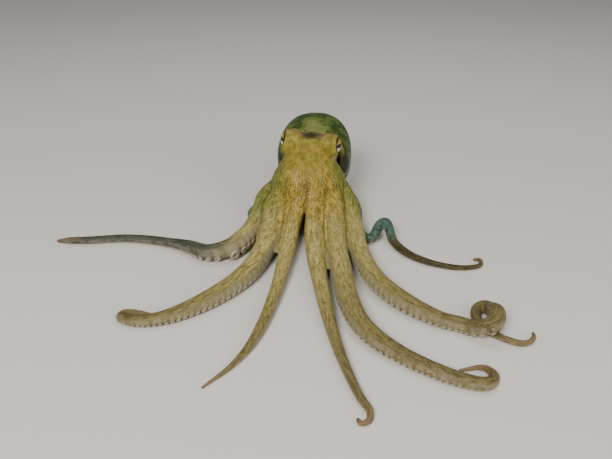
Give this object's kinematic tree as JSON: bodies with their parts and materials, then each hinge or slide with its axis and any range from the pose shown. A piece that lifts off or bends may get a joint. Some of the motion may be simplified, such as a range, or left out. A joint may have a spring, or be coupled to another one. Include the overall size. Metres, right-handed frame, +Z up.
{
  "type": "common octopus model",
  "caption": "Life-size common octopus sitting with its head raised, the mantle sac behind it and its arms spread over the ground, some tips curled.",
  "frame": {"origin": "centre of the bounding box, on the ground that the animal rests on", "axes": "+Z up; the animal faces -Y, so its left side is at +X and its mantle points towards +Y"},
  "size_m": [0.2469, 0.2552, 0.0559],
  "materials": {
    "skin": "moist ochre skin of the head, crown, webs and arm bases",
    "arm_skin": "moist grey-beige skin of the arms",
    "mantle_skin": "moist mottled green skin",
    "suckers": "smooth pale sucker rims and cups",
    "eye": "clear wet eye over an orange and white iris with a black slit"
  },
  "bodies": {
    "root": {"arm_crown": "skin", "arm_left_1_base": "skin", "arm_left_1_middle": "arm_skin", "arm_left_1_tip": "arm_skin", "arm_left_2_base": "skin", "arm_left_2_middle": "arm_skin", "arm_left_2_outer": "arm_skin", "arm_left_2_tip": "arm_skin", "arm_left_3_base": "skin", "arm_left_3_curl": "arm_skin", "arm_left_3_middle": "arm_skin", "arm_left_3_outer": "arm_skin", "arm_left_3_tip": "arm_skin", "arm_left_4_base": "skin", "arm_left_4_middle": "arm_skin", "arm_left_4_tip": "arm_skin", "arm_right_1_base": "skin", "arm_right_1_middle": "arm_skin", "arm_right_1_tip": "arm_skin", "arm_right_2_base": "skin", "arm_right_2_middle": "arm_skin", "arm_right_2_tip": "arm_skin", "arm_right_3_base": "skin", "arm_right_3_middle": "arm_skin", "arm_right_3_tip": "arm_skin", "arm_right_4_base": "skin", "arm_right_4_middle": "arm_skin", "arm_right_4_tip": "arm_skin", "eye_left": "eye", "eye_right": "eye", "head": "skin", "mantle": "mantle_skin", "siphon": "mantle_skin", "web_left_1_2": "skin", "web_left_3_4": "skin", "web_right_1_2": "skin", "web_right_3_4": "skin"}
  },
  "joints": []
}
